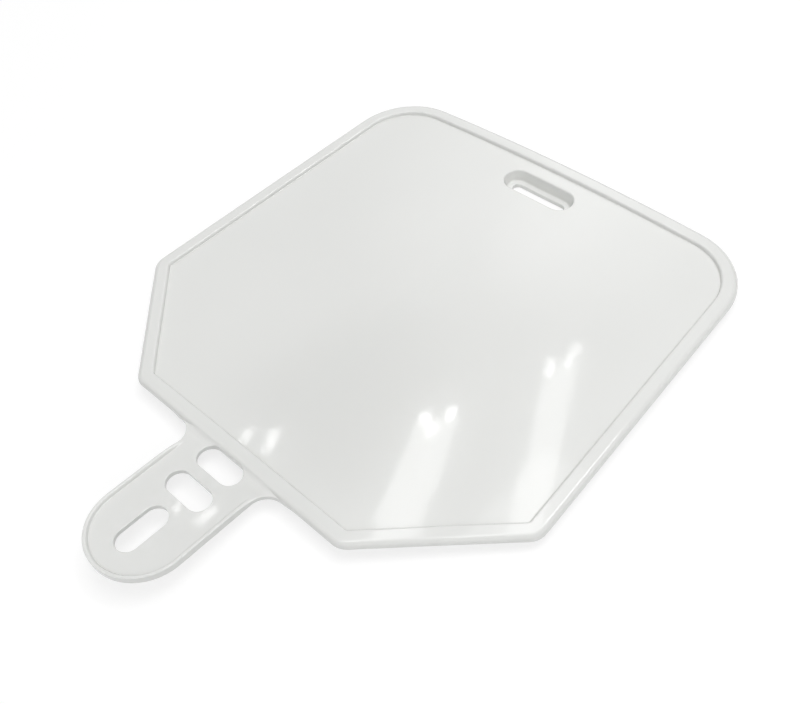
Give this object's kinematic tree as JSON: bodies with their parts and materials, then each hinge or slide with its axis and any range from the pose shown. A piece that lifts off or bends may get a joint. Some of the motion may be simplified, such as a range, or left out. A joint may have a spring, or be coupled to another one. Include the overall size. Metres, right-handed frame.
{
  "type": "racing number board",
  "caption": "Bowed six-sided plastic number board for a small racing motorbike, with a raised rim, a sunk strap slot near its top edge and a slotted mounting tab below.",
  "frame": {"origin": "middle of the underside of the bounding box, with the board lying on its back", "axes": "+X across the board, +Y from the mounting tab to the strap slot, +Z out of the front face"},
  "size_m": [0.2026, 0.2536, 0.0119],
  "materials": {
    "white_plastic": "smooth moulded white plastic with a soft gloss"
  },
  "bodies": {
    "root": {"number_board": "white_plastic"}
  },
  "joints": []
}
